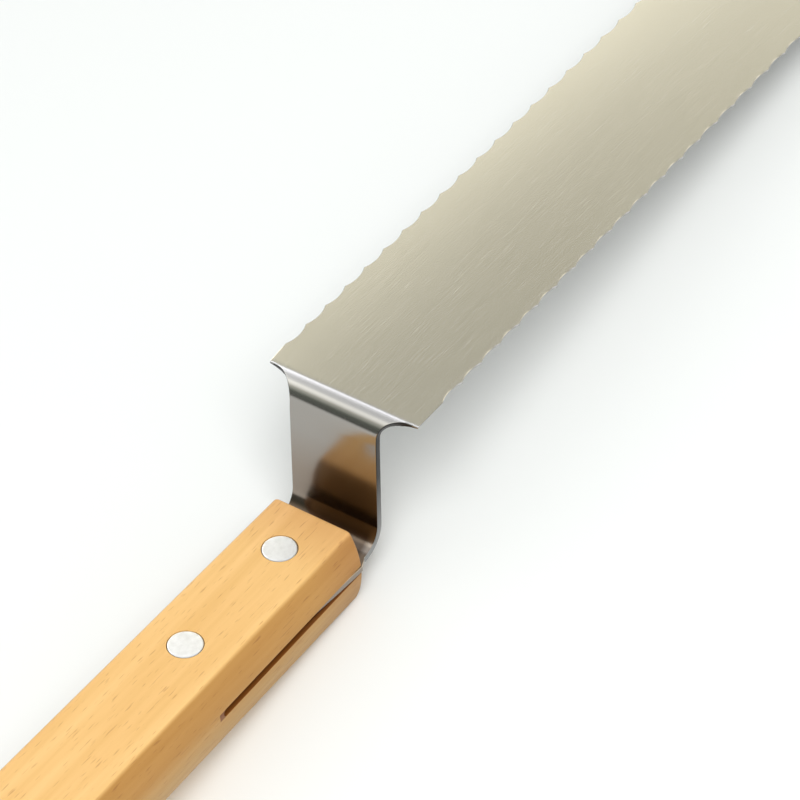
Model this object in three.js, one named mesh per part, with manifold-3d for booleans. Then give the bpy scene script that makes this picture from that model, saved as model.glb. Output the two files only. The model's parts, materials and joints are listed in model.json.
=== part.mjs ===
// A cranked bread knife: one strip of stainless steel makes the blade, the neck and the tang, and the tang is
// riveted into a saw kerf in a one-piece beech handle.
//
// Millimetres. Each piece is drawn in the knife's own axes: X along the knife to the blade's tip, Z up out of
// the blade's flat face, zero in the middle of the handle's flat underside, half-way between the rivets. The
// knife is the same on both sides of its XZ plane, apart from the phase of its teeth.
// The whole knife is then turned to the way it lies on a table: the blade outweighs the handle, so it rests on
// the lower front edge of the handle and on the tip of the blade. The part's own frame has +Z up from that
// table, +X level towards the tip, and its origin on the table below the middle of the knife.

import * as THREE from 'three';
import Module from 'manifold-3d';
import { mergeVertices } from 'three/addons/utils/BufferGeometryUtils.js';

// Handle
const handleLength = 128;
const handleThickness = 19.8;
const handleFront = 29.6;
const handleFaceHalf = 9.9; // half-width of the flat top and bottom at the front end
const handleBellyHalf = 12.4; // half-width at mid height at the front end
const handleSpread = 0.0009; // how fast the handle widens towards its rear, per millimetre
const creaseSoftening = 1.2;
const frontRounding = 1.8;
const rearRounding = 4;

// Saw kerf that the tang lies in
const kerfHeight = 1.9;
const kerfEnd = -24.2;
const sawRadius = 70;

// Steel strip
const steelThickness = 1.6;
const neckHalf = 11.6;
const neckLean = THREE.MathUtils.degToRad(3); // forward from upright
const neckRearAtHandleTop = 37.45; // X of the neck's rear face at the height of the handle's top
const lowerBendRadius = 5.5; // inside of the bend, on the rear face
const upperBendRadius = 4; // outside of the bend, on the rear face
const bladeTop = 45.4;

// Tang
const tangRear = -22.6;
const tangRearHalf = 8;
const tangShoulder = 7;
const tangCorner = 3;

// Blade
const heel = 42.65;
const bladeLength = 250;
const bladeHalf = 19.94;
const heelFilletRadius = 7;
const earHalfLeft = 19.4;
const toothPitch = 7.41;
const toothDepth = 0.8;
const leftFirstTooth = 49.35;
const rightFirstTooth = 52.14;
const groundWidth = 5; // the underside is ground away over this width along each edge
const edgeThickness = 0.35;
const groundSkim = 0.1; // how far the grinding reaches below the blade, so that no two faces coincide

// Two-piece rivets
const rivetSpacing = 34.1;
const rivetHeadRadius = 4;
const rivetHeadThickness = 1.6;
const rivetHeadChamfer = 0.35;
const postRadius = 2;
const socketRadius = 2.8;
const socketBoreRadius = 2.2;
const postTipHeight = 5.5;
const socketBoreFloor = 5;
const socketTop = 16.5;
const fitGap = 0.2; // between a rivet and the hole that it lies in
const holeDepthGap = 0.15; // under each head

const roundSegments = 32;
const bendSegments = 8; // in each bend, rounded corner and scallop
const endRings = 5; // rings in each rounded end of the handle
const overshoot = 2; // how far a cutting solid runs past what it cuts

const rivetXs = [rivetSpacing / 2, -rivetSpacing / 2];

const axisX = new THREE.Vector3(1, 0, 0);
const axisY = new THREE.Vector3(0, 1, 0);
const axisZ = new THREE.Vector3(0, 0, 1);

const beech = new THREE.MeshStandardMaterial({ color: 0xe9bb7f, roughness: 0.6, metalness: 0 });
const stainless = new THREE.MeshStandardMaterial({ color: 0xb9b4a0, roughness: 0.3, metalness: 1 });
const aluminium = new THREE.MeshStandardMaterial({ color: 0xd9dad8, roughness: 0.35, metalness: 1 });

const wasm = await Module();
wasm.setup();

function toSolid(geometry) {
  geometry.deleteAttribute('normal');
  geometry.deleteAttribute('uv');
  const merged = mergeVertices(geometry, 1e-4);
  const vertProperties = merged.attributes.position.array;
  const triVerts = new Uint32Array(merged.index.array);
  return new wasm.Manifold(new wasm.Mesh({ numProp: 3, vertProperties, triVerts }));
}

function toMesh(name, solid, material) {
  const { vertProperties, triVerts } = solid.getMesh();
  const geometry = new THREE.BufferGeometry();
  geometry.setAttribute('position', new THREE.BufferAttribute(vertProperties, 3));
  geometry.setIndex(new THREE.BufferAttribute(triVerts, 1));
  geometry.computeVertexNormals();
  const mesh = new THREE.Mesh(geometry, material);
  mesh.name = name;
  return mesh;
}

function extrude(outline, depth) {
  return new THREE.ExtrudeGeometry(outline, { depth, curveSegments: bendSegments, bevelEnabled: false });
}

// An outline drawn in (X, Z) and extruded along Y to both sides of the middle plane.
function alongY(outline, half) {
  const geometry = extrude(outline, 2 * half);
  geometry.applyMatrix4(new THREE.Matrix4().makeBasis(axisX, axisZ, axisY.clone().negate()));
  return geometry.translate(0, half, 0);
}

// An outline drawn in (X, Y) and extruded along Z.
function alongZ(outline, fromZ, toZ) {
  return extrude(outline, toZ - fromZ).translate(0, 0, fromZ);
}

// A solid turned about an upright axis, from [radius, height] points that run up its outside.
function turned(points, x) {
  const profile = points.map(([radius, height]) => new THREE.Vector2(radius, height));
  const geometry = new THREE.LatheGeometry(profile, roundSegments);
  return toSolid(geometry.rotateX(Math.PI / 2).translate(x, 0, 0));
}

// How much wider the handle is at x than at its front end.
function spreadAt(x) {
  return 1 + handleSpread * (handleFront - x);
}

// The handle's section: flat top and bottom, bellied sides, softened creases between them.
function handleSection() {
  const halfThickness = handleThickness / 2;
  const belly = handleBellyHalf - handleFaceHalf;
  const sideRadius = (halfThickness ** 2 + belly ** 2) / (2 * belly);
  const sideCentre = handleBellyHalf - sideRadius;
  const sideAngle = Math.asin(halfThickness / sideRadius);
  const softAngle = sideAngle - creaseSoftening / sideRadius;
  const softX = sideCentre + sideRadius * Math.cos(softAngle);
  const softZ = sideRadius * Math.sin(softAngle);
  const flat = handleFaceHalf - creaseSoftening;
  const section = new THREE.Shape();
  section.moveTo(-flat, 0);
  section.lineTo(flat, 0);
  section.quadraticCurveTo(handleFaceHalf, 0, softX, halfThickness - softZ);
  section.absarc(sideCentre, halfThickness, sideRadius, -softAngle, softAngle, false);
  section.quadraticCurveTo(handleFaceHalf, handleThickness, flat, handleThickness);
  section.lineTo(-flat, handleThickness);
  section.quadraticCurveTo(-handleFaceHalf, handleThickness, -softX, halfThickness + softZ);
  section.absarc(-sideCentre, halfThickness, sideRadius, Math.PI - softAngle, Math.PI + softAngle, false);
  section.quadraticCurveTo(-handleFaceHalf, 0, -flat, 0);
  return section;
}

// The section pushed along X in rings. Towards each end the rings shrink along a quarter circle, which rounds
// the end's edges all the way round.
function handleBar() {
  const rear = handleFront - handleLength;
  const ringCount = 2 * endRings + 1;
  const bar = new THREE.ExtrudeGeometry(handleSection(), {
    depth: ringCount,
    steps: ringCount,
    curveSegments: bendSegments,
    bevelEnabled: false,
  });
  bar.applyMatrix4(new THREE.Matrix4().makeBasis(axisY, axisZ, axisX));
  const positions = bar.attributes.position;
  const middleZ = handleThickness / 2;
  for (let i = 0; i < positions.count; i++) {
    const ring = Math.round(positions.getX(i));
    const atRear = ring <= endRings;
    const rounding = atRear ? rearRounding : frontRounding;
    const turn = (atRear ? ring : ringCount - ring) / endRings * Math.PI / 2;
    const inset = rounding * (1 - Math.sin(turn));
    const fromEnd = rounding * (1 - Math.cos(turn));
    const x = atRear ? rear + fromEnd : handleFront - fromEnd;
    const y = positions.getY(i) * spreadAt(x) * (1 - inset / handleBellyHalf);
    const z = middleZ + (positions.getZ(i) - middleZ) * (1 - inset / middleZ);
    positions.setXYZ(i, x, y, z);
  }
  return toSolid(bar);
}

// The saw is a flat disc fed in from the front, so the kerf's closed end is a shallow arc.
function kerf() {
  const disc = new THREE.CylinderGeometry(sawRadius, sawRadius, kerfHeight, 3 * roundSegments);
  return toSolid(disc.rotateX(Math.PI / 2).translate(kerfEnd + sawRadius, 0, handleThickness / 2));
}

function rivetHole(x) {
  const headRadius = rivetHeadRadius + fitGap;
  const boreRadius = socketRadius + fitGap;
  const headDepth = rivetHeadThickness + holeDepthGap;
  return turned([
    [0, -overshoot],
    [headRadius, -overshoot],
    [headRadius, headDepth],
    [boreRadius, headDepth],
    [boreRadius, handleThickness - headDepth],
    [headRadius, handleThickness - headDepth],
    [headRadius, handleThickness + overshoot],
    [0, handleThickness + overshoot],
  ], x);
}

function handle() {
  const sawn = handleBar().subtract(kerf());
  const drilled = rivetXs.reduce((wood, x) => wood.subtract(rivetHole(x)), sawn);
  return toMesh('handle', drilled, beech);
}

// The strip seen from the side: tang, lower bend, leaning neck, upper bend and blade.
function stripProfile() {
  const tangTop = (handleThickness + steelThickness) / 2;
  const reach = Math.tan(neckLean);
  const lean = new THREE.Vector2(Math.cos(neckLean), -Math.sin(neckLean)); // forward, square to the neck
  const lowerZ = tangTop + lowerBendRadius;
  const lowerFootZ = lowerZ + lowerBendRadius * lean.y;
  const lowerFootX = neckRearAtHandleTop + (lowerFootZ - handleThickness) * reach;
  const lowerX = lowerFootX - lowerBendRadius * lean.x;
  const upperZ = bladeTop - upperBendRadius;
  const upperFootZ = upperZ - upperBendRadius * lean.y;
  const upperFootX = neckRearAtHandleTop + (upperFootZ - handleThickness) * reach;
  const upperX = upperFootX + upperBendRadius * lean.x;
  const lowerOuter = lowerBendRadius + steelThickness;
  const upperInner = upperBendRadius - steelThickness;
  const quarter = Math.PI / 2;
  const end = heel + bladeLength + overshoot;
  const profile = new THREE.Shape();
  profile.moveTo(tangRear - overshoot, tangTop);
  profile.absarc(lowerX, lowerZ, lowerBendRadius, -quarter, -neckLean, false);
  profile.absarc(upperX, upperZ, upperBendRadius, Math.PI - neckLean, quarter, true);
  profile.lineTo(end, bladeTop);
  profile.lineTo(end, bladeTop - steelThickness);
  profile.absarc(upperX, upperZ, upperInner, quarter, Math.PI - neckLean, false);
  profile.absarc(lowerX, lowerZ, lowerOuter, -neckLean, -quarter, true);
  profile.lineTo(tangRear - overshoot, tangTop - steelThickness);
  return profile;
}

// One edge's scallops from the first tooth forwards: hollow arcs that meet in points.
function scallops(firstTooth, side) {
  const arcs = [];
  const noseStart = heel + bladeLength - bladeHalf;
  const count = Math.floor((noseStart - firstTooth) / toothPitch);
  for (let i = 0; i < count; i++) {
    const from = firstTooth + i * toothPitch;
    const middle = from + toothPitch / 2;
    const hollow = side * (bladeHalf - 2 * toothDepth);
    arcs.push({ from, middle, hollow, to: from + toothPitch });
  }
  return arcs;
}

// The strip seen from above: tang, neck, filleted heel with its two ears, toothed edges and round nose.
function stripOutline() {
  const filletX = heel - heelFilletRadius;
  const filletY = neckHalf + heelFilletRadius;
  const noseX = heel + bladeLength - bladeHalf;
  const outline = new THREE.Shape();
  outline.moveTo(tangRear, -tangRearHalf + tangCorner);
  outline.quadraticCurveTo(tangRear, -tangRearHalf, tangRear + tangCorner, -tangRearHalf);
  outline.lineTo(tangShoulder - tangCorner, -tangRearHalf);
  outline.quadraticCurveTo(tangShoulder, -tangRearHalf, tangShoulder, -neckHalf);
  outline.absarc(filletX, -filletY, heelFilletRadius, Math.PI / 2, 0, true);
  outline.lineTo(heel, -bladeHalf);
  outline.lineTo(rightFirstTooth, -bladeHalf);
  for (const arc of scallops(rightFirstTooth, -1)) {
    outline.quadraticCurveTo(arc.middle, arc.hollow, arc.to, -bladeHalf);
  }
  outline.absarc(noseX, 0, bladeHalf, -Math.PI / 2, 0, false);
  outline.absarc(noseX, 0, bladeHalf, 0, Math.PI / 2, false);
  for (const arc of scallops(leftFirstTooth, 1).reverse()) {
    outline.lineTo(arc.to, bladeHalf);
    outline.quadraticCurveTo(arc.middle, arc.hollow, arc.from, bladeHalf);
  }
  outline.lineTo(heel, earHalfLeft);
  outline.absarc(filletX, filletY, heelFilletRadius, 0, -Math.PI / 2, true);
  outline.lineTo(tangShoulder, neckHalf);
  outline.quadraticCurveTo(tangShoulder, tangRearHalf, tangShoulder - tangCorner, tangRearHalf);
  outline.lineTo(tangRear + tangCorner, tangRearHalf);
  outline.quadraticCurveTo(tangRear, tangRearHalf, tangRear, tangRearHalf - tangCorner);
  return outline;
}

// What grinding leaves of the blade: flat on top, with the underside sloped up to the edges.
function groundEnvelope() {
  const noseX = heel + bladeLength - bladeHalf;
  const behind = heel - 2 * groundWidth;
  const plan = new THREE.Shape();
  plan.moveTo(behind, -bladeHalf);
  plan.lineTo(noseX, -bladeHalf);
  plan.absarc(noseX, 0, bladeHalf, -Math.PI / 2, Math.PI / 2, false);
  plan.lineTo(behind, bladeHalf);
  const slope = (steelThickness - edgeThickness) / groundWidth;
  const bevelSize = groundWidth + 1;
  const geometry = new THREE.ExtrudeGeometry(plan, {
    depth: 2 * edgeThickness,
    curveSegments: roundSegments,
    bevelSegments: 1,
    bevelSize,
    bevelOffset: -bevelSize,
    bevelThickness: bevelSize * slope,
  });
  return toSolid(geometry.translate(0, 0, bladeTop - edgeThickness));
}

// The steel that grinding takes off the blade's underside.
function grinding() {
  const length = bladeLength + overshoot + groundWidth;
  const below = steelThickness + groundSkim;
  const box = new THREE.BoxGeometry(length, 2 * bladeHalf + overshoot, below + overshoot);
  const middleX = heel - groundWidth + length / 2;
  const middleZ = bladeTop + (overshoot - below) / 2;
  return toSolid(box.translate(middleX, 0, middleZ)).subtract(groundEnvelope());
}

function tangHole(x) {
  const radius = socketRadius + fitGap;
  return turned([[0, 0], [radius, 0], [radius, handleThickness], [0, handleThickness]], x);
}

function blade() {
  const bent = toSolid(alongY(stripProfile(), bladeHalf + overshoot));
  const cut = toSolid(alongZ(stripOutline(), -overshoot, bladeTop + overshoot));
  const ground = bent.intersect(cut).subtract(grinding());
  const drilled = rivetXs.reduce((steel, x) => steel.subtract(tangHole(x)), ground);
  return toMesh('blade', drilled, stainless);
}

// The solid half of a rivet: its head is flush with the handle's top and its shank points down.
function rivetPost(name, x) {
  const headBottom = handleThickness - rivetHeadThickness;
  const rim = rivetHeadRadius - rivetHeadChamfer;
  const solid = turned([
    [0, postTipHeight],
    [postRadius, postTipHeight],
    [postRadius, headBottom],
    [rivetHeadRadius, headBottom],
    [rivetHeadRadius, handleThickness - rivetHeadChamfer],
    [rim, handleThickness],
    [0, handleThickness],
  ], x);
  return toMesh(name, solid, aluminium);
}

// The tubular half of a rivet: its head is flush with the handle's underside.
function rivetSocket(name, x) {
  const rim = rivetHeadRadius - rivetHeadChamfer;
  const solid = turned([
    [0, 0],
    [rim, 0],
    [rivetHeadRadius, rivetHeadChamfer],
    [rivetHeadRadius, rivetHeadThickness],
    [socketRadius, rivetHeadThickness],
    [socketRadius, socketTop],
    [socketBoreRadius, socketTop],
    [socketBoreRadius, socketBoreFloor],
    [0, socketBoreFloor],
  ], x);
  return toMesh(name, solid, aluminium);
}

// The angle of a table that touches the handle's rounded lower front edge and the blade's underside, where the
// grinding round the tip begins.
function restTilt() {
  const run = heel + bladeLength - groundWidth - (handleFront - frontRounding);
  const rise = bladeTop - steelThickness - frontRounding;
  return Math.atan2(rise, run) + Math.asin(frontRounding / Math.hypot(run, rise));
}

const knife = new THREE.Group();
knife.add(handle(), blade());
['front', 'rear'].forEach((place, i) => {
  knife.add(rivetPost(`${place}_rivet_post`, rivetXs[i]));
  knife.add(rivetSocket(`${place}_rivet_socket`, rivetXs[i]));
});
knife.rotation.y = restTilt();

const restingKnife = new THREE.Group();
restingKnife.add(knife);
const extent = new THREE.Box3().setFromObject(restingKnife, true);
const middle = extent.getCenter(new THREE.Vector3());
knife.position.set(-middle.x, -middle.y, -extent.min.z);

export default restingKnife;
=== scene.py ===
import json
from math import asin, atan2, cos, hypot, pi, radians, sin, tan

import bmesh
import bpy
from mathutils import Matrix, Vector


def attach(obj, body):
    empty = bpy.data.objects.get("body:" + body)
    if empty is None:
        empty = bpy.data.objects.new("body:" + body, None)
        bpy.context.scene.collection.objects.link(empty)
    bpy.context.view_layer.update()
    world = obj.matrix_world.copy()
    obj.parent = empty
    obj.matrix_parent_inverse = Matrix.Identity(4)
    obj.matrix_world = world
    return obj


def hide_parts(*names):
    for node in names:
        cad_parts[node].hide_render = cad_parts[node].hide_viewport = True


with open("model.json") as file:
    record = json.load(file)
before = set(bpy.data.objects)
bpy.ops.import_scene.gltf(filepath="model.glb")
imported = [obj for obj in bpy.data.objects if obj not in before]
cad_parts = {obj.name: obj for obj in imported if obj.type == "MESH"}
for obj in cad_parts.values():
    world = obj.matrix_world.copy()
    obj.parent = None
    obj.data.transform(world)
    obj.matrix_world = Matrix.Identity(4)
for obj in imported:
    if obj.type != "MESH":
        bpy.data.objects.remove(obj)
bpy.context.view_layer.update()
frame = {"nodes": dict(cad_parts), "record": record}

# The knife's own axes: X along it to the tip, Z out of the blade's flat, zero on the handle's underside.
# Every piece is modelled there in millimetres and laid down in the frame when it is finished.
mounts = {mount["name"]: mount for mount in frame["record"]["mounts"]}
restPoint = Vector(mounts["handle_underside"]["pos_m"])
restTilt = atan2(-mounts["handle_underside"]["axis"][0], -mounts["handle_underside"]["axis"][2])
millimetre = 0.001


def ownBox(node):  # lowest and highest corner of a CAD node along the knife's own axes, in millimetres
    turnBack = Matrix.Rotation(-restTilt, 3, "Y")
    places = [turnBack @ (v.co - restPoint) / millimetre for v in frame["nodes"][node].data.vertices]
    low = Vector([min(place[i] for place in places) for i in range(3)])
    high = Vector([max(place[i] for place in places) for i in range(3)])
    return low, high


handleLow, handleHigh = ownBox("handle")
steelLow, steelHigh = ownBox("blade")
thickness = handleHigh.z - handleLow.z
print("frame: handle", round(handleHigh.x - handleLow.x, 2), "mm, tip at", round(steelHigh.x, 2), "mm")


# the modelling steps that every piece uses


def startPiece(name, place):  # one vertex at a place, in edit mode
    bpy.ops.object.select_all(action="DESELECT")
    bpy.ops.mesh.primitive_plane_add(size=1, location=(0, 0, 0))
    piece = bpy.context.object
    piece.name = name
    piece.data.name = name
    bpy.ops.object.mode_set(mode="EDIT")
    bpy.ops.mesh.select_mode(type="VERT")
    bpy.ops.mesh.select_all(action="SELECT")
    bpy.ops.mesh.merge(type="CENTER")
    bpy.ops.transform.translate(value=place)
    return piece


def drawBy(x=0.0, y=0.0, z=0.0):
    bpy.ops.mesh.extrude_region_move(TRANSFORM_OT_translate={"value": (x, y, z)})


def drawArc(centre, angle, steps, axis=(0, 0, 1)):  # anticlockwise about the axis, where spin goes clockwise
    bpy.ops.mesh.spin(steps=steps, angle=-angle, center=centre, axis=axis)


def circleThrough(a, b, c):  # middle and sweep of the arc from a over b to c, all as (across, up) pairs
    d = 2 * (a[0] * (b[1] - c[1]) + b[0] * (c[1] - a[1]) + c[0] * (a[1] - b[1]))
    squares = [p[0] ** 2 + p[1] ** 2 for p in (a, b, c)]
    across = (squares[0] * (b[1] - c[1]) + squares[1] * (c[1] - a[1]) + squares[2] * (a[1] - b[1])) / d
    up = (squares[0] * (c[0] - b[0]) + squares[1] * (a[0] - c[0]) + squares[2] * (b[0] - a[0])) / d
    radius = hypot(a[0] - across, a[1] - up)
    return (across, up), 2 * asin(hypot(a[0] - c[0], a[1] - c[1]) / 2 / radius)


def closeOutline():  # joins the two ends and fills the outline with one face
    bpy.ops.mesh.select_all(action="SELECT")
    bpy.ops.mesh.remove_doubles(threshold=0.005)
    bpy.ops.mesh.edge_face_add()


def pickVertices(piece, test):
    bpy.ops.mesh.select_mode(type="VERT")
    mesh = bmesh.from_edit_mesh(piece.data)
    for vertex in mesh.verts:
        vertex.select_set(test(vertex.co))
    mesh.select_flush_mode()
    bmesh.update_edit_mesh(piece.data)


def pickEdges(piece, test):
    bpy.ops.mesh.select_mode(type="EDGE")
    mesh = bmesh.from_edit_mesh(piece.data)
    for edge in mesh.edges:
        edge.select_set(test(edge))
    mesh.select_flush_mode()
    bmesh.update_edit_mesh(piece.data)


def finishNormals():
    bpy.ops.mesh.select_all(action="SELECT")
    bpy.ops.mesh.normals_make_consistent(inside=False)
    bpy.ops.object.mode_set(mode="OBJECT")


def addCutter(radius, depth, place, sides):
    bpy.ops.object.select_all(action="DESELECT")
    bpy.ops.mesh.primitive_cylinder_add(vertices=sides, radius=radius, depth=depth, location=place)
    bpy.ops.object.transform_apply(location=True, rotation=True, scale=True)
    return bpy.context.object


def cutAway(piece, cutter):
    bpy.ops.object.select_all(action="DESELECT")
    piece.select_set(True)
    bpy.context.view_layer.objects.active = piece
    cut = piece.modifiers.new("cut", "BOOLEAN")
    cut.operation = "DIFFERENCE"
    cut.solver = "EXACT"
    cut.object = cutter
    bpy.ops.object.modifier_apply(modifier=cut.name)
    bpy.data.objects.remove(cutter)


def smoothOff(piece, angle):
    bpy.ops.object.select_all(action="DESELECT")
    piece.select_set(True)
    bpy.context.view_layer.objects.active = piece
    bpy.ops.object.shade_smooth_by_angle(angle=radians(angle))
    weigh = piece.modifiers.new("weigh", "WEIGHTED_NORMAL")
    weigh.keep_sharp = True
    bpy.ops.object.modifier_apply(modifier=weigh.name)


def layDown(piece, node):  # turns a piece from the knife's own axes into the frame, for good
    bpy.ops.object.select_all(action="DESELECT")
    piece.select_set(True)
    bpy.context.view_layer.objects.active = piece
    piece.scale = (millimetre,) * 3
    piece.rotation_euler = (0, restTilt, 0)
    piece.location = restPoint
    bpy.ops.object.transform_apply(location=True, rotation=True, scale=True)
    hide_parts(node)
    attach(piece, "root")


# materials


def newMaterial(name):
    material = bpy.data.materials.new(name)
    material.use_nodes = True
    tree = material.node_tree
    shader = tree.nodes["Principled BSDF"]
    return material, tree, shader


def addNode(tree, kind, inputs=None, **settings):
    node = tree.nodes.new("ShaderNode" + kind)
    for key, value in settings.items():
        setattr(node, key, value)
    for key, value in (inputs or {}).items():
        if isinstance(value, bpy.types.NodeSocket):
            tree.links.new(value, node.inputs[key])
        else:
            node.inputs[key].default_value = value
    return node


def knifeCoordinates(tree):  # object coordinates turned back to the knife's own axes, in millimetres
    own = addNode(tree, "TexCoord").outputs["Object"]
    turnBack = Matrix.Rotation(-restTilt, 3, "Y")
    shift = -(turnBack @ restPoint) / millimetre
    mapping = addNode(tree, "Mapping", {"Vector": own})
    mapping.inputs["Location"].default_value = shift
    mapping.inputs["Rotation"].default_value = (0, -restTilt, 0)
    mapping.inputs["Scale"].default_value = (1 / millimetre,) * 3
    return mapping.outputs["Vector"]


def stretched(tree, vector, x, y, z):  # the same coordinates with a pattern x, y, z millimetres across
    mapping = addNode(tree, "Mapping", {"Vector": vector})
    mapping.inputs["Scale"].default_value = (1 / x, 1 / y, 1 / z)
    return mapping.outputs["Vector"]


def ramp(tree, factor, stops):
    node = addNode(tree, "ValToRGB", {"Fac": factor})
    elements = node.color_ramp.elements
    while len(elements) > 1:
        elements.remove(elements[-1])
    elements[0].position = stops[0][0]
    elements[0].color = (*stops[0][1], 1)
    for place, colour in stops[1:]:
        elements.new(place).color = (*colour, 1)
    return node.outputs["Color"]


def remap(tree, value, low, high, newLow, newHigh):
    node = addNode(tree, "MapRange", {"Value": value})
    for key, number in zip(("From Min", "From Max", "To Min", "To Max"), (low, high, newLow, newHigh)):
        node.inputs[key].default_value = number
    return node.outputs["Result"]


def noise(tree, vector, scale=1.0, detail=3.0, roughness=0.5):
    settings = {"Vector": vector, "Scale": scale, "Detail": detail, "Roughness": roughness}
    return addNode(tree, "TexNoise", settings).outputs["Fac"]


def mixColours(tree, factor, first, second, blend="MIX"):
    node = addNode(tree, "Mix", data_type="RGBA", blend_type=blend)
    for key, value in (("Factor_Float", factor), ("A_Color", first), ("B_Color", second)):
        socket = next(s for s in node.inputs if s.identifier == key)
        if isinstance(value, bpy.types.NodeSocket):
            tree.links.new(value, socket)
        else:
            socket.default_value = value
    return next(s for s in node.outputs if s.identifier == "Result_Color")


steelLook = {
    "tone": (0.425, 0.415, 0.40),
    "paleTone": (0.455, 0.447, 0.435),
    "bladeRoughness": (0.22, 0.28),
    "neckRoughness": (0.165, 0.20),
    "neckShade": (0.78, 0.75, 0.72),  # painted shade: the neck's colour is darker than the blade's, standing for the darker surroundings it reflects
    "neckLowShade": (0.86, 0.77, 0.70),  # painted shade and a warm painted reflection of the wooden handle, stronger towards the handle
    "corner": (0.42, 0.37, 0.33),  # painted shade in the lower bend's corner by the handle, left out on a strip at the neck's -Y edge
    "edgeShadowUnderBlade": (0.05, 0.048, 0.048),  # painted shadow on the cut edge under the blade
    "edgePale": (0.30, 0.30, 0.30),  # cut edge down at the handle
    "crownRadius": 420.0,  # the blade's upper face is very slightly crowned from edge to edge
    "satinAndShadeFrom": -4.5,  # the neck's polish turns to the blade's satin here, and the neck's painted shade ends there, measured from the heel
    "satinAndShadeTo": 1.0,
    "lowShadeFrom": 34.0,  # heights above the handle's underside where the neck's painted shade and warm painted reflection grow
    "lowShadeTo": 22.0,
    "cornerShadeFrom": 14.8,
    "cornerShadeTo": 12.8,
    "cornerShadeEdge": (-10.8, -9.4),
    "cloudSize": (40, 14, 20),
    "brushSize": (9, 0.09, 0.09),
    "brushBump": 0.006,
    "tearSize": (0.5, 0.5, 3),
    "edgeRoughness": (0.30, 0.45),
    "edgePaleHeight": 12.9,
    "edgeShadowHeight": 30.0,
}


def makeSteel():
    look = steelLook
    material, tree, shader = newMaterial("stainlessSteel")
    own = knifeCoordinates(tree)
    place = addNode(tree, "SeparateXYZ", {"Vector": own}).outputs
    heel = bladeShape["heel"]
    satinUnshaded = remap(tree, place["X"], heel + look["satinAndShadeFrom"], heel + look["satinAndShadeTo"], 0, 1)
    cloud = noise(tree, stretched(tree, own, *look["cloudSize"]), detail=2)
    tone = mixColours(tree, cloud, (*look["tone"], 1), (*look["paleTone"], 1))
    # painted shade on the neck, fading out at the heel
    shade = mixColours(tree, satinUnshaded, (*look["neckShade"], 1), (1, 1, 1, 1))
    tone = mixColours(tree, 1.0, tone, shade, blend="MULTIPLY")
    # painted shade and warm painted reflection, low on the neck
    low = remap(tree, place["Z"], look["lowShadeFrom"], look["lowShadeTo"], 0, 1)
    tone = mixColours(tree, low, tone, (*look["neckLowShade"], 1), blend="MULTIPLY")
    # painted shade in the neck's lower corner by the handle, except on a strip at its -Y edge
    inCornerShade = remap(tree, place["Z"], look["cornerShadeFrom"], look["cornerShadeTo"], 0, 1)
    cornerShadeAcross = remap(tree, place["Y"], *look["cornerShadeEdge"], 0, 1)
    corner = addNode(tree, "Math", {0: inCornerShade, 1: cornerShadeAcross}, operation="MULTIPLY").outputs[0]
    tone = mixColours(tree, corner, tone, (*look["corner"], 1), blend="MULTIPLY")
    tree.links.new(tone, shader.inputs["Base Color"])

    brushing = noise(tree, stretched(tree, own, *look["brushSize"]), detail=4, roughness=0.7)
    onBlade = remap(tree, brushing, 0.3, 0.7, *look["bladeRoughness"])
    onNeck = remap(tree, brushing, 0.3, 0.7, *look["neckRoughness"])
    blend = addNode(tree, "Mix", {"Factor": satinUnshaded, "A": onNeck, "B": onBlade})
    tree.links.new(blend.outputs["Result"], shader.inputs["Roughness"])

    square = addNode(tree, "Math", {0: place["Y"], 1: place["Y"]}, operation="MULTIPLY").outputs[0]
    curve = {0: square, 1: -0.5 / look["crownRadius"]}
    crown = addNode(tree, "Math", curve, operation="MULTIPLY").outputs[0]
    crowned = addNode(tree, "Bump", {"Height": crown, "Strength": 1.0, "Distance": millimetre})
    bump = addNode(tree, "Bump", {"Height": brushing, "Strength": look["brushBump"], "Distance": 0.0002,
                                  "Normal": crowned.outputs["Normal"]})
    tree.links.new(bump.outputs["Normal"], shader.inputs["Normal"])
    shader.inputs["Metallic"].default_value = 1.0
    return material


def makeCutEdge():
    material, tree, shader = newMaterial("cutSteelEdge")
    look = steelLook
    own = knifeCoordinates(tree)
    tears = noise(tree, stretched(tree, own, *look["tearSize"]), detail=3)
    height = addNode(tree, "SeparateXYZ", {"Vector": own}).outputs["Z"]
    # painted shadow: the cut edge is darkest under the blade and paler down at the handle
    shadowFade = remap(tree, height, look["edgeShadowHeight"], look["edgePaleHeight"], 0, 1)
    tone = mixColours(tree, shadowFade, (*look["edgeShadowUnderBlade"], 1), (*look["edgePale"], 1))
    tree.links.new(tone, shader.inputs["Base Color"])
    tree.links.new(remap(tree, tears, 0.3, 0.7, *look["edgeRoughness"]), shader.inputs["Roughness"])
    bump = addNode(tree, "Bump", {"Height": tears, "Strength": 0.1, "Distance": 0.0001})
    tree.links.new(bump.outputs["Normal"], shader.inputs["Normal"])
    shader.inputs["Metallic"].default_value = 1.0
    return material


beechLook = {
    "pale": (0.80, 0.495, 0.192),
    "warm": (0.71, 0.415, 0.140),
    "fleck": (0.42, 0.18, 0.045),
    "side": (0.59, 0.475, 0.26),  # painted shade: the sides are darker than the top, as if turned away from the light
    # painted shade on the lower side, less deep and paler, as if lit by light bounced from the floor
    "sideLowShade": (0.60, 0.56, 0.45),
    "front": (0.89, 0.82, 0.80),  # darker towards the front end
    "sawn": (0.42, 0.25, 0.13),  # inside the kerf: sawn wood, darker still with painted shade in the recess
    "roughness": (0.42, 0.55),
    "bandSize": (70, 3.5, 3.5),
    "fleckSize": (4.0, 0.42, 0.42),
    "fleckFrom": 0.645,
    "fleckFull": 0.75,
    "fleckStrength": 0.5,
    "fibreSize": (6, 0.16, 0.16),
    "sideShadeFrom": -0.1,  # the painted side shade sets in at the crease, measured across from it
    "sideShadeFull": 0.5,
    "sideLowShadeFrom": 13,
    "sideLowShadeFull": 6,
    "frontFrom": 16,
    "frontFull": 3,
}


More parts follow.
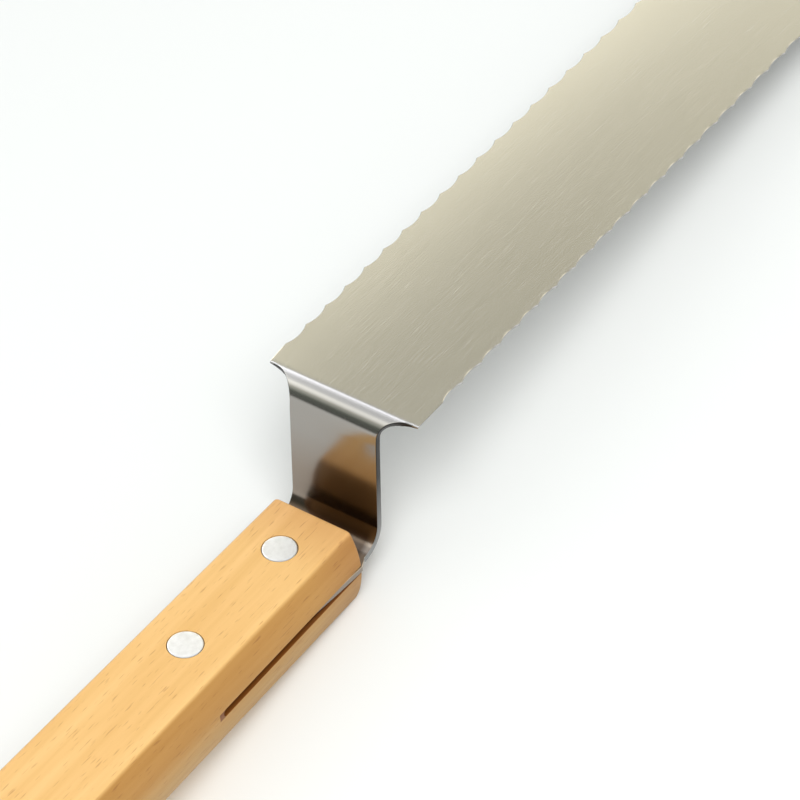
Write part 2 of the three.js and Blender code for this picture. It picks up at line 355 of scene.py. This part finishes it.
def makeBeech():
    look, shape = beechLook, handleShape
    material, tree, shader = newMaterial("oiledBeech")
    own = knifeCoordinates(tree)
    bands = noise(tree, stretched(tree, own, *look["bandSize"]), detail=3, roughness=0.55)
    inBand = remap(tree, bands, 0.35, 0.65, 0, 1)
    base = mixColours(tree, inBand, (*look["pale"], 1), (*look["warm"], 1))
    flecks = noise(tree, stretched(tree, own, *look["fleckSize"]), detail=1, roughness=0.4)
    fleckMask = remap(tree, flecks, look["fleckFrom"], look["fleckFull"], 0, look["fleckStrength"])
    grained = mixColours(tree, fleckMask, base, (*look["fleck"], 1))

    place = addNode(tree, "SeparateXYZ", {"Vector": own}).outputs
    length = handleHigh.x - handleLow.x
    widening = remap(tree, place["X"], handleLow.x, handleHigh.x, 1 + shape["spread"] * length, 1)
    fromMiddle = addNode(tree, "Math", {0: place["Y"]}, operation="ABSOLUTE").outputs[0]
    across = addNode(tree, "Math", {0: fromMiddle, 1: widening}, operation="DIVIDE").outputs[0]
    crease = shape["topHalf"]
    # painted shade on both sides of the handle
    side = remap(tree, across, crease + look["sideShadeFrom"], crease + look["sideShadeFull"], 0, 1)
    # painted shade on the lower side, paler as if lit from the floor
    lower = remap(tree, place["Z"], look["sideLowShadeFrom"], look["sideLowShadeFull"], 0, 1)
    sideShadeTone = mixColours(tree, lower, (*look["side"], 1), (*look["sideLowShade"], 1))
    toned = mixColours(tree, side, grained, sideShadeTone, blend="MULTIPLY")
    front = remap(tree, place["X"], handleHigh.x - look["frontFrom"], handleHigh.x - look["frontFull"], 0, 1)
    toned = mixColours(tree, front, toned, (*look["front"], 1), blend="MULTIPLY")

    # inside the kerf: the sawn wood's tone with painted shade in the recess
    kerf = {0: place["Z"], 1: shape["kerfHeight"]}
    fromKerf = addNode(tree, "Math", kerf, operation="SUBTRACT").outputs[0]
    fromKerf = addNode(tree, "Math", {0: fromKerf}, operation="ABSOLUTE").outputs[0]
    inKerf = remap(tree, fromKerf, shape["kerf"] / 2 + 0.1, shape["kerf"] / 2, 0, 1)
    ahead = remap(tree, place["X"], shape["kerfEnd"] - 0.3, shape["kerfEnd"] - 0.2, 0, 1)
    sawn = addNode(tree, "Math", {0: inKerf, 1: ahead}, operation="MULTIPLY").outputs[0]
    toned = mixColours(tree, sawn, toned, (*look["sawn"], 1), blend="MULTIPLY")
    tree.links.new(toned, shader.inputs["Base Color"])

    tree.links.new(remap(tree, bands, 0.3, 0.7, *look["roughness"]), shader.inputs["Roughness"])
    fibres = noise(tree, stretched(tree, own, *look["fibreSize"]), detail=3, roughness=0.6)
    bump = addNode(tree, "Bump", {"Height": fibres, "Strength": 0.12, "Distance": 0.0002})
    tree.links.new(bump.outputs["Normal"], shader.inputs["Normal"])
    return material


rivetLook = {
    "tone": (0.66, 0.665, 0.69),
    "lowTone": (0.57, 0.575, 0.60),
    "roughness": (0.34, 0.48),
}


def makeAluminium():
    material, tree, shader = newMaterial("facedAluminium")
    own = knifeCoordinates(tree)
    mottle = noise(tree, own, scale=0.9, detail=4, roughness=0.6)
    tone = ramp(tree, mottle, [(0.3, rivetLook["lowTone"]), (0.7, rivetLook["tone"])])
    tree.links.new(tone, shader.inputs["Base Color"])
    tree.links.new(remap(tree, mottle, 0.3, 0.7, *rivetLook["roughness"]), shader.inputs["Roughness"])
    marks = noise(tree, stretched(tree, own, 2.5, 0.12, 1), detail=3)
    bump = addNode(tree, "Bump", {"Height": marks, "Strength": 0.06, "Distance": 0.0001})
    tree.links.new(bump.outputs["Normal"], shader.inputs["Normal"])
    shader.inputs["Metallic"].default_value = 1.0
    return material


# blade, neck and tang: one strip, drawn flat, ground, then bent

bladeShape = {
    "steel": 1.6,
    "heel": 42.65,
    "neckHalf": 11.6,
    "fillet": 6.8,
    "leftEar": 19.4,
    "toothPitch": 7.41,
    "toothDepth": 0.8,
    "firstLeftTooth": 49.35,
    "firstRightTooth": 52.14,
    "toothSteps": 10,
    "noseSteps": 48,
    "filletSteps": 16,
    "cornerSteps": 6,
    "groundWidth": 5.03,
    "groundFacets": 24,
    "edge": 0.3,
    "neckLean": radians(3),
    "neckRearX": 37.45,  # rear face of the neck at the height of the handle's top
    "lowerBend": 5.5,
    "upperBend": 4.9,
    "bendSteps": 16,
    "easeTurn": radians(6),  # the upper bend runs out gently into the neck
    "easeLength": 3.6,
    "easeSteps": 6,
    "tangMouth": 29.3,  # where the tang enters the handle, almost as wide as the handle there
    "tangMouthHalf": 12.75,
    "tangShoulder": 9.0,
    "tangShoulderHalf": 11.9,
    "tangRearHalf": 8.0,
    "tangCorner": 3.0,
    "softEdge": 0.3,
    "toothEdge": 0.16,
    "holeRadius": 3.0,
    "holeSides": 48,
    "besideBend": 0.4,  # a cut across the strip just outside each bend keeps the flats flat
    "smoothAngle": 22,
}


def bendStations(radius, turn, easeTurn=0.0, easeLength=0.0):  # place and turn of each small fold of a bend
    steps, easeSteps = bladeShape["bendSteps"], bladeShape["easeSteps"]
    tightTurn = turn - easeTurn
    step = radius * tightTurn / steps
    stations = [((i + 0.5) * step, tightTurn / steps) for i in range(steps)]
    if easeTurn:
        easeStep = easeLength / easeSteps
        stations += [(steps * step + (i + 0.5) * easeStep, easeTurn / easeSteps) for i in range(easeSteps)]
    return stations, steps * step + (easeLength if easeTurn else 0)


def bendReach(stations, length, slope, side):  # how far a bend carries the strip back and down
    back, down, at = 0.0, 0.0, 0.0
    for distance, turn in stations + [(length, 0)]:
        back += (distance - at) * cos(slope)
        down += (distance - at) * sin(slope)
        slope += side * turn
        at = distance
    return back, down


def stripLengths():  # where the bends start and end, and how far the flat tang is from the bent one
    s = bladeShape
    lean, top = s["neckLean"], steelHigh.z
    turn = pi / 2 - lean
    upper, upperLength = bendStations(s["upperBend"], turn, s["easeTurn"], s["easeLength"])
    lower, lowerLength = bendStations(s["lowerBend"], turn)
    lower = [(lowerLength - distance, part) for distance, part in reversed(lower)]
    upperBack, upperDown = bendReach(upper, upperLength, 0, 1)
    lowerBack, lowerDown = bendReach(lower, lowerLength, turn, -1)
    footZ = top - upperDown
    footX = s["neckRearX"] + (footZ - thickness) * tan(lean)
    neck = (footZ - lowerDown - (thickness + s["steel"]) / 2) / cos(lean)
    upperStart = footX + upperBack
    lowerStart = upperStart - upperLength - neck
    bentEnd = footX - neck * sin(lean) - lowerBack
    return {
        "upperStart": upperStart,
        "upper": upper,
        "lowerStart": lowerStart,
        "lower": lower,
        "lowerLength": lowerLength,
        "flatShift": lowerStart - lowerLength - bentEnd,
    }


def drawStrip(lengths):
    s = bladeShape
    half, top = steelHigh.y, steelHigh.z
    noseX = steelHigh.x - half
    pitch, depth = s["toothPitch"], s["toothDepth"]
    hollow = ((pitch / 2) ** 2 + depth ** 2) / (2 * depth)  # radius of one scallop
    sweep = 2 * asin(pitch / 2 / hollow)
    leftTeeth = int((noseX - s["firstLeftTooth"]) / pitch)
    rightTeeth = int((noseX - s["firstRightTooth"]) / pitch)
    fillet, neckHalf = s["fillet"], s["neckHalf"]
    filletY = neckHalf + fillet
    mouth = s["tangMouth"] + lengths["flatShift"]
    bendEnd = lengths["lowerStart"] - lengths["lowerLength"]
    mouthHalf, shoulderHalf = s["tangMouthHalf"], s["tangShoulderHalf"]
    shoulder = s["tangShoulder"] + lengths["flatShift"]
    rear = steelLow.x + lengths["flatShift"]
    corner, rearHalf = s["tangCorner"], s["tangRearHalf"]

    piece = startPiece("blade_fine", (s["heel"], s["leftEar"], top))
    drawBy(s["firstLeftTooth"] - s["heel"], half - s["leftEar"])
    for i in range(leftTeeth):
        middle = s["firstLeftTooth"] + (i + 0.5) * pitch
        drawArc((middle, half - depth + hollow, top), sweep, s["toothSteps"])
    drawBy(noseX - s["firstLeftTooth"] - leftTeeth * pitch)
    drawArc((noseX, 0, top), -pi, s["noseSteps"])
    drawBy(s["firstRightTooth"] + rightTeeth * pitch - noseX)
    for i in reversed(range(rightTeeth)):
        middle = s["firstRightTooth"] + (i + 0.5) * pitch
        drawArc((middle, depth - half - hollow, top), sweep, s["toothSteps"])
    drawBy(s["heel"] - s["firstRightTooth"])
    drawBy(0, half - filletY)
    drawArc((s["heel"] - fillet, -filletY, top), pi / 2, s["filletSteps"])
    drawBy(bendEnd - s["heel"] + fillet)
    drawBy(mouth - bendEnd, neckHalf - mouthHalf)
    drawBy(shoulder - mouth, mouthHalf - shoulderHalf)
    drawBy(-corner, shoulderHalf - rearHalf)
    drawBy(rear + 2 * corner - shoulder)
    drawArc((rear + corner, corner - rearHalf, top), -pi / 2, s["cornerSteps"])
    drawBy(0, 2 * (rearHalf - corner))
    drawArc((rear + corner, rearHalf - corner, top), -pi / 2, s["cornerSteps"])
    drawBy(shoulder - rear - 2 * corner)
    drawBy(corner, shoulderHalf - rearHalf)
    drawBy(mouth - shoulder, mouthHalf - shoulderHalf)
    drawBy(bendEnd - mouth, neckHalf - mouthHalf)
    drawBy(s["heel"] - fillet - bendEnd)
    drawArc((s["heel"] - fillet, filletY, top), pi / 2, s["filletSteps"])
    drawBy(0, s["leftEar"] - filletY)
    closeOutline()
    drawBy(z=-s["steel"])
    finishNormals()
    return piece


def softenStrip(piece):  # a worn edge along the neck and heel, and a fine one along the teeth
    s = bladeShape
    top, heel = steelHigh.z, s["heel"]
    bpy.ops.object.mode_set(mode="EDIT")

    def level(edge):
        a, b = (vertex.co for vertex in edge.verts)
        return abs(a.z - b.z) < 0.01 and max(a.x, b.x) < heel + 0.01

    def topEdgeOfTeeth(edge):
        a, b = (vertex.co for vertex in edge.verts)
        return min(a.z, b.z) > top - 0.01 and max(a.x, b.x) > heel + 0.01

    pickEdges(piece, level)
    bpy.ops.mesh.bevel(offset=s["softEdge"], segments=3, affect="EDGES")
    pickEdges(piece, topEdgeOfTeeth)
    bpy.ops.mesh.bevel(offset=s["toothEdge"], segments=1, affect="EDGES")


def markCutEdges(piece, start):  # the strip's cut sides keep a darker, rougher skin than its faces, with painted shadow on them under the blade
    bpy.ops.mesh.select_mode(type="FACE")
    mesh = bmesh.from_edit_mesh(piece.data)
    for face in mesh.faces:
        middle = face.calc_center_median()
        face.select_set(abs(face.normal.z) < 0.8 and start < middle.x < bladeShape["heel"] + 0.01)
    bmesh.update_edit_mesh(piece.data)
    piece.active_material_index = 1
    bpy.ops.object.material_slot_assign()


def grindEdges(piece):  # planes that slope the underside up to both edges and round the nose
    s = bladeShape
    half, top = steelHigh.y, steelHigh.z
    noseX = steelHigh.x - half
    slope = atan2(s["steel"] - s["edge"], s["groundWidth"])
    inner = half - s["groundWidth"]
    facets = s["groundFacets"]
    for i in range(facets + 1):
        angle = pi * i / facets - pi / 2
        outX, outY = cos(angle), sin(angle)
        place = (noseX + inner * outX, inner * outY, top - s["steel"])
        away = (outX * sin(slope), outY * sin(slope), -cos(slope))
        bpy.ops.mesh.select_all(action="SELECT")
        bpy.ops.mesh.bisect(plane_co=place, plane_no=away, clear_outer=True, threshold=0.0001)
        bpy.ops.mesh.edge_face_add()


def bendStrip(piece, lengths):
    top, beside = steelHigh.z, bladeShape["besideBend"]
    upperStart, lowerStart = lengths["upperStart"], lengths["lowerStart"]
    folds = [(upperStart - distance, part) for distance, part in lengths["upper"]]
    folds += [(lowerStart - distance, -part) for distance, part in lengths["lower"]]
    folds += [(upperStart + beside, 0), (lowerStart + beside, 0)]
    folds += [(lowerStart - lengths["lowerLength"] - beside, 0)]
    for x, part in sorted(folds):
        bpy.ops.mesh.select_all(action="SELECT")
        bpy.ops.mesh.bisect(plane_co=(x, 0, top), plane_no=(1, 0, 0), threshold=0.0001)
        if part:
            pickVertices(piece, lambda place: place.x < x - 0.003)
            bpy.ops.transform.rotate(value=part, orient_axis="Y", center_override=(x, 0, top))


def makeBlade():
    lengths = stripLengths()
    piece = drawStrip(lengths)
    for material in (makeSteel(), makeCutEdge()):
        piece.data.materials.append(material)
    softenStrip(piece)
    markCutEdges(piece, lengths["lowerStart"] - lengths["lowerLength"])
    grindEdges(piece)
    bendStrip(piece, lengths)
    bpy.ops.mesh.select_all(action="SELECT")
    bpy.ops.mesh.dissolve_degenerate(threshold=0.002)
    finishNormals()
    for node in ("front_rivet_socket", "rear_rivet_socket"):
        low, high = ownBox(node)
        place = ((low.x + high.x) / 2, 0, thickness / 2)
        drill = addCutter(bladeShape["holeRadius"], 4 * bladeShape["steel"], place, bladeShape["holeSides"])
        cutAway(piece, drill)
    smoothOff(piece, bladeShape["smoothAngle"])
    layDown(piece, "blade")
    print("blade:", len(piece.data.polygons), "faces")


# handle: a bellied bar with rounded ends, sawn and drilled

handleShape = {
    "topHalf": 9.9,
    "bottomHalf": 10.55,
    "bellyHalf": 12.6,
    "bellyHeight": 9.4,
    "spread": 0.0009,  # widening per millimetre towards the rear
    "topCrease": 0.7,
    "bottomCrease": 0.4,
    "frontRounding": 0.75,
    "rearRounding": 4.3,
    "endRings": 8,
    "kerf": 1.9,
    "kerfHeight": 9.9,
    "kerfEnd": -23.2,
    "sawRadius": 70.0,
    "holeRadius": 3.0,
    "headHole": 4.1,
    "headDepth": 1.75,
    "softEdge": 0.12,
    "bellySteps": 14,
    "topCreaseSteps": 5,
    "bottomCreaseSteps": 3,
    "sawSides": 360,
    "sawRim": 0.45,  # rounding of the saw's rim, as a part of the kerf
    "holeSides": 64,
    "softAngle": 50,
    "smoothAngle": 32,
}


def ringShape(ring):  # place along the handle and scale across it of one ring of the bar
    h = handleShape
    rings = h["endRings"]
    atRear = ring <= rings
    rounding = h["rearRounding"] if atRear else h["frontRounding"]
    turn = (ring if atRear else 2 * rings + 1 - ring) / rings * pi / 2
    inset = rounding * (1 - sin(turn))
    fromEnd = rounding * (1 - cos(turn))
    x = handleLow.x + fromEnd if atRear else handleHigh.x - fromEnd
    across = (1 + h["spread"] * (handleHigh.x - x)) * (1 - inset / h["bellyHalf"])
    return x, across, 1 - inset / (thickness / 2)


def drawHandleSection():
    h = handleShape
    topHalf, bottomHalf = h["topHalf"], h["bottomHalf"]
    belly = (h["bellyHalf"], h["bellyHeight"])
    (across, up), sweep = circleThrough((bottomHalf, 0), belly, (topHalf, thickness))
    piece = startPiece("handle_fine", (0, -bottomHalf, 0))
    drawBy(y=2 * bottomHalf)
    drawArc((0, across, up), sweep, h["bellySteps"], axis=(1, 0, 0))
    drawBy(y=-2 * topHalf)
    drawArc((0, -across, up), sweep, h["bellySteps"], axis=(1, 0, 0))
    bpy.ops.mesh.select_all(action="SELECT")
    bpy.ops.mesh.remove_doubles(threshold=0.005)
    pickVertices(piece, lambda place: place.z > thickness - 0.01)
    bpy.ops.mesh.bevel(offset=h["topCrease"], segments=h["topCreaseSteps"], affect="VERTICES")
    pickVertices(piece, lambda place: place.z < 0.01)
    bpy.ops.mesh.bevel(offset=h["bottomCrease"], segments=h["bottomCreaseSteps"], affect="VERTICES")
    bpy.ops.mesh.select_all(action="SELECT")
    bpy.ops.mesh.edge_face_add()
    return piece


def makeHandle():
    h = handleShape
    piece = drawHandleSection()
    middle = (0, 0, thickness / 2)
    lastX, lastAcross, lastHigh = 0.0, 1.0, 1.0
    for ring in range(2 * h["endRings"] + 2):
        x, across, high = ringShape(ring)
        step = (x - lastX, 0, 0)
        if ring == 0:
            bpy.ops.transform.translate(value=step)
        else:
            bpy.ops.mesh.extrude_region_move(TRANSFORM_OT_translate={"value": step})
        bpy.ops.transform.resize(value=(1, across / lastAcross, high / lastHigh), center_override=middle)
        lastX, lastAcross, lastHigh = x, across, high
    # a narrow flat where the lower front edge stands on the table
    restEdge = (restPoint.z / millimetre / sin(restTilt), 0, 0)
    down = (sin(restTilt), 0, -cos(restTilt))
    bpy.ops.mesh.select_all(action="SELECT")
    bpy.ops.mesh.bisect(plane_co=restEdge, plane_no=down, clear_outer=True)
    bpy.ops.mesh.edge_face_add()
    finishNormals()
    kerfCentre = (h["kerfEnd"] + h["sawRadius"], 0, h["kerfHeight"])
    saw = addCutter(h["sawRadius"], h["kerf"], kerfCentre, h["sawSides"])
    roundRim = saw.modifiers.new("roundRim", "BEVEL")
    roundRim.width = h["sawRim"] * h["kerf"]
    roundRim.segments = 4
    roundRim.limit_method = "ANGLE"
    bpy.ops.object.modifier_apply(modifier=roundRim.name)
    cutAway(piece, saw)
    for node in ("front_rivet_socket", "rear_rivet_socket"):
        low, high = ownBox(node)
        x = (low.x + high.x) / 2
        cutAway(piece, addCutter(h["holeRadius"], 2 * thickness, (x, 0, 0), h["holeSides"]))
        for face in (0, thickness):
            cutAway(piece, addCutter(h["headHole"], 2 * h["headDepth"], (x, 0, face), h["holeSides"]))
    bpy.context.view_layer.objects.active = piece
    soften = piece.modifiers.new("soften", "BEVEL")
    soften.width = h["softEdge"]
    soften.segments = 2
    soften.limit_method = "ANGLE"
    soften.angle_limit = radians(h["softAngle"])
    bpy.ops.object.modifier_apply(modifier=soften.name)
    smoothOff(piece, h["smoothAngle"])
    piece.data.materials.clear()
    piece.data.materials.append(makeBeech())
    layDown(piece, "handle")
    print("handle:", len(piece.data.polygons), "faces")


# rivets: a turned post and a turned socket, copied to both places

rivetShape = {
    "headRadius": 4.0,
    "headDepth": 1.6,
    "rim": 0.35,
    "rimSteps": 5,
    "post": 2.0,
    "socket": 2.8,
    "bore": 2.2,
    "postTip": 5.5,
    "boreFloor": 5.0,
    "socketTop": 16.5,
    "tipChamfer": 0.3,
    "sides": 64,
    "smoothAngle": 30,
}


def turnProfile(name, points):
    piece = startPiece(name, (points[0][0], 0, points[0][1]))
    for (fromX, fromZ), (toX, toZ) in zip(points, points[1:]):
        drawBy(x=toX - fromX, z=toZ - fromZ)
    bpy.ops.mesh.select_all(action="SELECT")
    bpy.ops.mesh.spin(steps=rivetShape["sides"], angle=2 * pi, center=(0, 0, 0), axis=(0, 0, 1))
    bpy.ops.mesh.select_all(action="SELECT")
    bpy.ops.mesh.remove_doubles(threshold=0.002)
    finishNormals()
    smoothOff(piece, rivetShape["smoothAngle"])
    return piece


def roundedRim(sign, face):  # the head's rim, a quarter round from its cylinder to its flat
    r = rivetShape
    points = []
    for i in range(r["rimSteps"] + 1):
        turn = i / r["rimSteps"] * pi / 2
        inward, below = r["rim"] * (1 - cos(turn)), r["rim"] * (1 - sin(turn))
        points.append((r["headRadius"] - inward, face - sign * below))
    return points


def makeRivets():
    r = rivetShape
    top = thickness
    chamfer = r["tipChamfer"]
    post = turnProfile("rivetPost", [
        (0, r["postTip"]), (r["post"] - chamfer, r["postTip"]), (r["post"], r["postTip"] + chamfer),
        (r["post"], top - r["headDepth"]), (r["headRadius"], top - r["headDepth"]),
        *roundedRim(1, top), (0, top)])
    socket = turnProfile("rivetSocket", [
        (0, 0), *reversed(roundedRim(-1, 0)), (r["headRadius"], r["headDepth"]),
        (r["socket"], r["headDepth"]), (r["socket"], r["socketTop"]), (r["bore"], r["socketTop"]),
        (r["bore"], r["boreFloor"]), (0, r["boreFloor"])])
    aluminium = makeAluminium()
    for half, kind in ((post, "post"), (socket, "socket")):
        for place in ("front", "rear"):
            node = f"{place}_rivet_{kind}"
            low, high = ownBox(node)
            copy = half.copy()
            copy.data = half.data.copy()
            copy.name = node + "_fine"
            bpy.context.scene.collection.objects.link(copy)
            copy.data.transform(Matrix.Translation(((low.x + high.x) / 2, 0, 0)))
            copy.data.materials.append(aluminium)
            layDown(copy, node)
        bpy.data.objects.remove(half)
    print("rivets: two posts and two sockets")


makeBlade()
makeHandle()
makeRivets()

# floor, light and camera

studio = {
    "floorSize": 12.0,
    "floorTone": (0.835, 0.847, 0.835, 1),
    "backdrop": (0.955, 0.965, 0.95, 1),
    "fill": (0.675, 0.69, 0.685, 1),
    "keyPower": 12.0,
    "keySize": 0.74,
    "keyPlace": (-0.38, -0.46, 1.20),
    "keyAim": (-0.06, 0, 0),
    # what the metal reflects of the studio: degrees from ahead of the tip, over the top, to behind the handle
    "surroundings": [
        (0, (0.50, 0.50, 0.48)), (26, (3.05, 2.9, 2.33)), (33, (0.98, 0.94, 0.71)),
        (37, (0.56, 0.53, 0.38)), (41, (0.48, 0.46, 0.335)), (50, (0.70, 0.68, 0.53)),
        (57, (1.1, 1.13, 1.25)), (61, (3.4, 3.5, 3.8)), (66, (2.2, 2.25, 2.4)),
        (72, (0.98, 1.0, 1.02)), (97, (0.95, 0.98, 1.0)), (104, (1.7, 1.73, 1.68)),
        (117, (1.7, 1.73, 1.66)), (128, (0.95, 0.95, 0.88)), (140, (0.42, 0.45, 0.40)),
        (152, (0.17, 0.19, 0.165)), (180, (0.15, 0.16, 0.15)),
    ],
    "surroundingsStrongest": 3.8,
    # and how that grows or fades to the left, by the sideways part of the direction
    "sideways": [
        (0.08, 0.86), (0.22, 1.05), (0.30, 1.26), (0.37, 1.12),
        (0.43, 0.97), (0.47, 1.0), (0.52, 1.32), (0.58, 1.75),
    ],
    "sidewaysStrongest": 2.0,
}

camera = {
    "lens": 208.57,
    "place": (-0.50411, -0.45444, 0.81130),
    "turn": (38.9586, 7.9511, -55.7362),
}


def makeFloor():
    bpy.ops.object.select_all(action="DESELECT")
    bpy.ops.mesh.primitive_plane_add(size=studio["floorSize"], location=(0, 0, 0))
    floor = bpy.context.object
    floor.name = "floor"
    material, tree, shader = newMaterial("paleFloor")
    shader.inputs["Base Color"].default_value = studio["floorTone"]
    shader.inputs["Roughness"].default_value = 0.9
    floor.data.materials.append(material)


def makeWorld():  # a plain pale backdrop, a soft fill, and a studio that only shows in the metal
    world = bpy.data.worlds.new("studio")
    world.use_nodes = True
    world.cycles.sampling_method = "NONE"
    bpy.context.scene.world = world
    tree = world.node_tree
    background = tree.nodes["Background"]
    around = addNode(tree, "TexCoord").outputs["Generated"]
    direction = addNode(tree, "SeparateXYZ", {"Vector": around}).outputs
    height = addNode(tree, "Math", {0: direction["Z"], 1: 0.0}, operation="MAXIMUM").outputs[0]
    angle = addNode(tree, "Math", {0: height, 1: direction["X"]}, operation="ARCTAN2").outputs[0]
    strongest = studio["surroundingsStrongest"]
    stops = [(place / 180, [part / strongest for part in tone]) for place, tone in studio["surroundings"]]
    seen = ramp(tree, remap(tree, angle, 0, pi, 0, 1), stops)
    most = studio["sidewaysStrongest"]
    sideways = ramp(tree, direction["Y"], [(place, [tone / most] * 3) for place, tone in studio["sideways"]])
    sideways = addNode(tree, "Math", {0: sideways, 1: most * strongest}, operation="MULTIPLY").outputs[0]
    seen = addNode(tree, "VectorMath", {0: seen}, operation="SCALE")
    tree.links.new(sideways, seen.inputs["Scale"])
    ray = addNode(tree, "LightPath").outputs
    lit = mixColours(tree, ray["Is Glossy Ray"], studio["fill"], seen.outputs["Vector"])
    shown = mixColours(tree, ray["Is Camera Ray"], lit, studio["backdrop"])
    tree.links.new(shown, background.inputs["Color"])


def makeLight():
    bpy.ops.object.light_add(type="AREA", location=studio["keyPlace"])
    key = bpy.context.object
    key.name = "keyLight"
    key.data.energy = studio["keyPower"]
    key.data.size = studio["keySize"]
    key.visible_glossy = False
    aim = Vector(studio["keyAim"]) - Vector(studio["keyPlace"])
    key.rotation_euler = aim.to_track_quat("-Z", "Y").to_euler()


def makeCamera():
    bpy.ops.object.camera_add(location=camera["place"], rotation=[radians(a) for a in camera["turn"]])
    bpy.context.object.data.lens = camera["lens"]
    bpy.context.scene.camera = bpy.context.object
    bpy.context.scene.view_settings.view_transform = "Standard"


makeWorld()
makeFloor()
makeLight()
makeCamera()
print("studio: floor, key light, world and camera")
